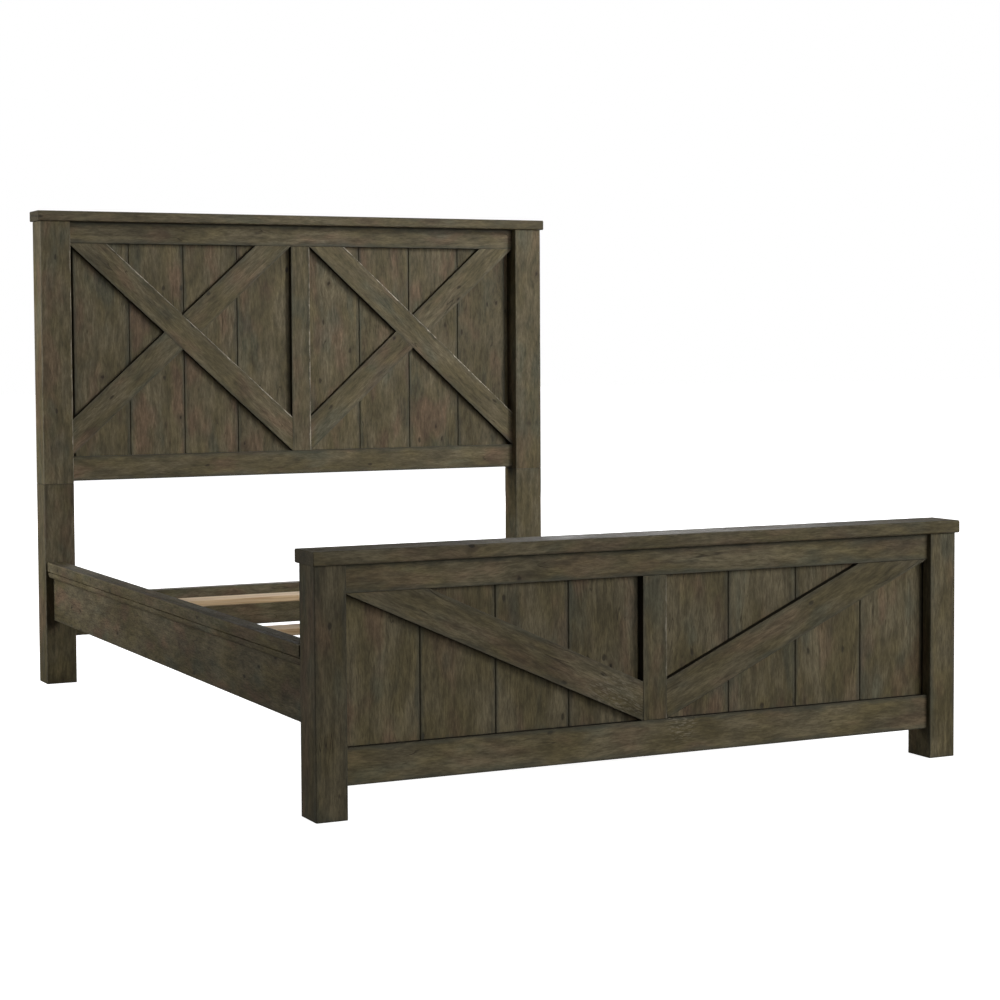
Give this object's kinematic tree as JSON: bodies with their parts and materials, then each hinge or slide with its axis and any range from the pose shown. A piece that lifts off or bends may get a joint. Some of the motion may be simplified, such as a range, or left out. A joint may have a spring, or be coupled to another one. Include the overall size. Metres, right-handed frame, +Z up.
{
  "type": "wooden bed frame",
  "caption": "Queen-size wooden bed frame with a tall cross-braced plank headboard, a low braced plank footboard, moulded side rails, slats and adjustable centre legs.",
  "frame": {"origin": "middle of the footprint, on the floor", "axes": "+X to the right seen from the foot end, -Y the foot end, +Y the head end, +Z up"},
  "size_m": [1.67, 2.239, 1.4],
  "materials": {
    "frame_wood": "wire-brushed dark grey-brown stain on posts, rails, stiles and caps, matt",
    "plank_wood": "wire-brushed dark grey-brown stain on the upright planks, matt",
    "brace_wood": "wire-brushed grey-brown stain with rubbed edges, matt",
    "side_wood": "dark grey-brown stain on the side rails and their mouldings, matt",
    "backing": "dark stained cleat in the shadow line beside the posts",
    "support_wood": "plain unstained pine slats, cleats and centre legs",
    "steel": "black zinc-coated hook plates",
    "glide": "black nylon levelling glide"
  },
  "bodies": {
    "frame": {"centre_leg_1": "support_wood", "centre_leg_2": "support_wood", "centre_leg_3": "support_wood", "footboard_bottom_rail": "frame_wood", "footboard_brace_left": "brace_wood", "footboard_brace_right": "brace_wood", "footboard_cap": "frame_wood", "footboard_plank_left_1": "plank_wood", "footboard_plank_left_2": "plank_wood", "footboard_plank_left_3": "plank_wood", "footboard_plank_left_4": "plank_wood", "footboard_plank_right_1": "plank_wood", "footboard_plank_right_2": "plank_wood", "footboard_plank_right_3": "plank_wood", "footboard_plank_right_4": "plank_wood", "footboard_post_left": "frame_wood", "footboard_post_right": "frame_wood", "footboard_stile": "frame_wood", "footboard_top_rail": "frame_wood", "headboard_brace_left": "brace_wood", "headboard_brace_left_lower": "brace_wood", "headboard_brace_left_upper": "brace_wood", "headboard_brace_right": "brace_wood", "headboard_brace_right_lower": "brace_wood", "headboard_brace_right_upper": "brace_wood", "headboard_cap": "frame_wood", "headboard_cleat_left": "backing", "headboard_cleat_right": "backing", "headboard_leg_left": "frame_wood", "headboard_leg_right": "frame_wood", "headboard_low_rail": "frame_wood", "headboard_mid_rail": "frame_wood", "headboard_plank_left_1": "plank_wood", "headboard_plank_left_2": "plank_wood", "headboard_plank_left_3": "plank_wood", "headboard_plank_left_4": "plank_wood", "headboard_plank_right_1": "plank_wood", "headboard_plank_right_2": "plank_wood", "headboard_plank_right_3": "plank_wood", "headboard_plank_right_4": "plank_wood", "headboard_post_left": "frame_wood", "headboard_post_right": "frame_wood", "headboard_stile": "frame_wood", "headboard_top_rail": "frame_wood", "hook_plate_foot_left": "steel", "hook_plate_foot_right": "steel", "hook_plate_head_left": "steel", "hook_plate_head_right": "steel", "side_moulding_left": "side_wood", "side_moulding_right": "side_wood", "side_rail_left": "side_wood", "side_rail_right": "side_wood", "slat_1": "support_wood", "slat_2": "support_wood", "slat_3": "support_wood", "slat_cleat_left": "support_wood", "slat_cleat_right": "support_wood"},
    "glide_1": {"levelling_glide_1": "glide"},
    "glide_2": {"levelling_glide_2": "glide"},
    "glide_3": {"levelling_glide_3": "glide"}
  },
  "joints": [
    {"name": "glide_1_height", "type": "slide", "parent": "frame", "child": "glide_1", "axis": [0, 0, 1], "range_m": [-0.008, 0.012]},
    {"name": "glide_2_height", "type": "slide", "parent": "frame", "child": "glide_2", "axis": [0, 0, 1], "range_m": [-0.008, 0.012]},
    {"name": "glide_3_height", "type": "slide", "parent": "frame", "child": "glide_3", "axis": [0, 0, 1], "range_m": [-0.008, 0.012]}
  ]
}
